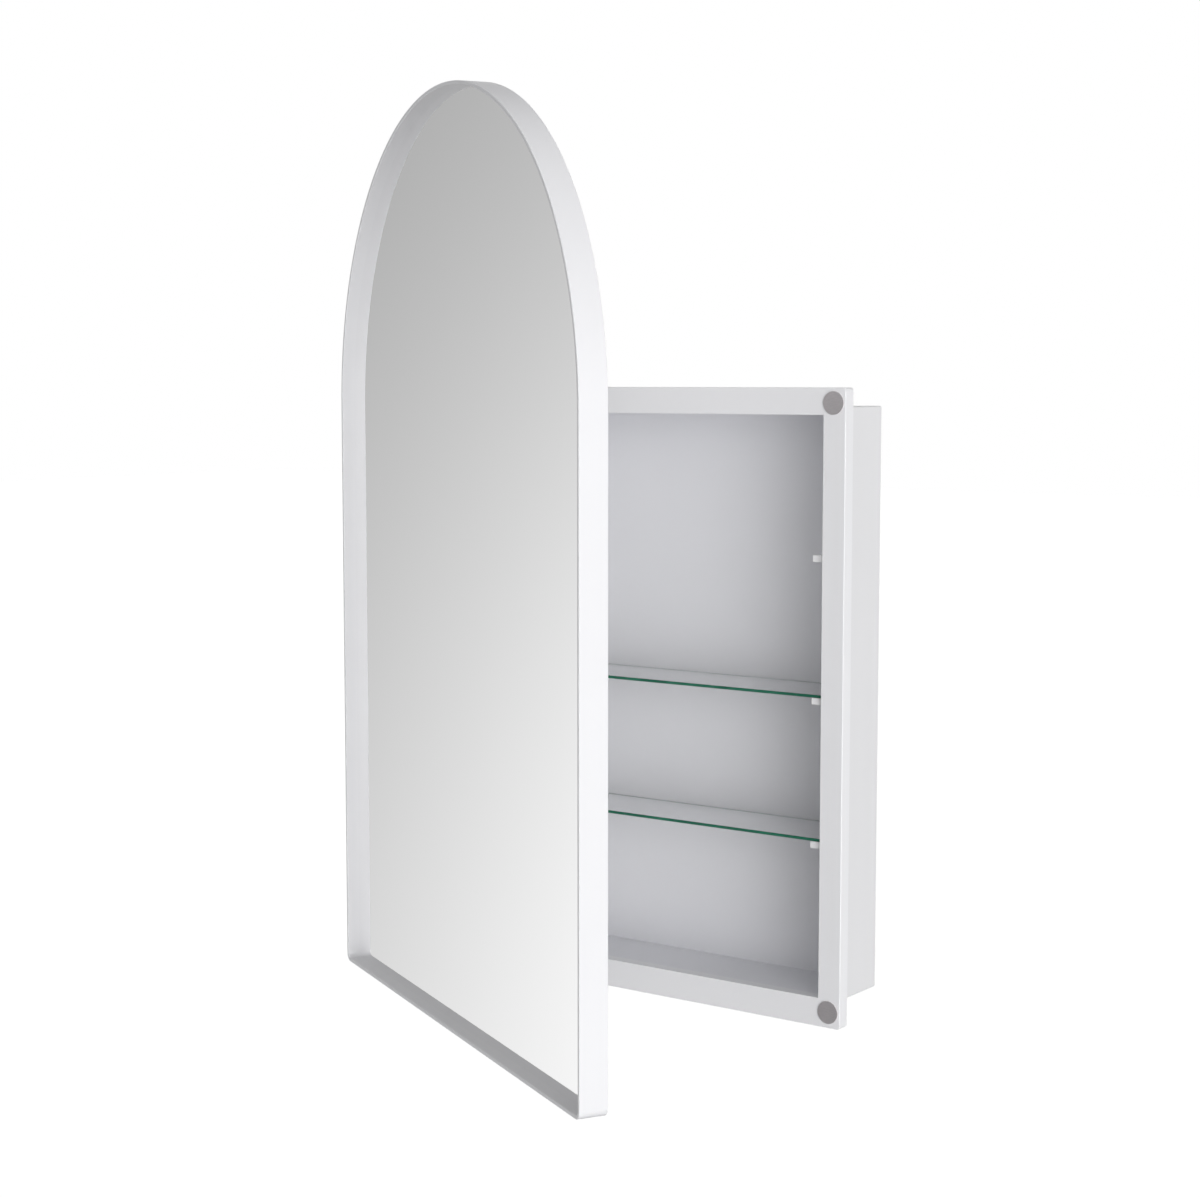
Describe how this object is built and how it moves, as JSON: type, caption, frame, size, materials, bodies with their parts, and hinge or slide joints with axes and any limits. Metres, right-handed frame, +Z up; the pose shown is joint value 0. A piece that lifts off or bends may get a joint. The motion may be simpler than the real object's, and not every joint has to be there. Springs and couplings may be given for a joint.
{
  "type": "medicine cabinet with mirror",
  "caption": "Recessed steel medicine cabinet with glass shelves behind a taller arched mirror door in a deep white metal frame, hinged on the left.",
  "frame": {"origin": "centre of the outer face of the case back", "axes": "+Z up, -Y towards the front of the cabinet, +X to the right seen from the front"},
  "size_m": [0.6103, 0.4127, 0.9142],
  "materials": {
    "white_frame": "satin powder coat",
    "white_case": "satin powder coat",
    "white_liner": "satin powder coat",
    "mirror": "silvered float glass",
    "shelf_glass": "clear float glass with green polished edges",
    "support_plastic": "moulded, satin",
    "magnet": "dull grey nickel plate",
    "hinge_steel": "nickel plate, satin",
    "screw_steel": "bright zinc plate",
    "zinc_steel": "galvanised",
    "board": "fibreboard with a white melamine face",
    "foam_tape": "closed-cell foam"
  },
  "bodies": {
    "cabinet": {"face_frame": "white_frame", "case_wrap": "white_case", "case_back": "white_case", "liner_wrap": "white_liner", "liner_back": "white_liner", "back_rail_upper": "zinc_steel", "back_rail_lower": "zinc_steel", "glass_shelf_upper": "shelf_glass", "glass_shelf_lower": "shelf_glass", "shelf_supports_top": "support_plastic", "shelf_supports_middle": "support_plastic", "shelf_supports_bottom": "support_plastic", "magnet_upper": "magnet", "magnet_lower": "magnet", "hinge_cabinet_leaf_upper": "hinge_steel", "hinge_cabinet_leaf_lower": "hinge_steel", "hinge_cabinet_screws_upper": "screw_steel", "hinge_cabinet_screws_lower": "screw_steel", "hinge_nut_plate_upper": "zinc_steel", "hinge_nut_plate_lower": "zinc_steel", "hinge_pin_upper": "hinge_steel", "hinge_pin_lower": "hinge_steel"},
    "door": {"door_frame": "white_frame", "mirror_glass": "mirror", "mirror_tape": "foam_tape", "backing_board": "board", "backing_board_screws": "screw_steel", "strike_plate_upper": "magnet", "strike_plate_lower": "magnet", "hinge_door_leaf_upper": "hinge_steel", "hinge_door_leaf_lower": "hinge_steel", "hinge_door_screws_upper": "screw_steel", "hinge_door_screws_lower": "screw_steel"}
  },
  "joints": [
    {"name": "door_hinge", "type": "hinge", "parent": "cabinet", "child": "door", "pos_m": [-0.2958, -0.0989, 0], "axis": [0, 0, -1], "range_deg": [-28.5, 61.5]}
  ]
}
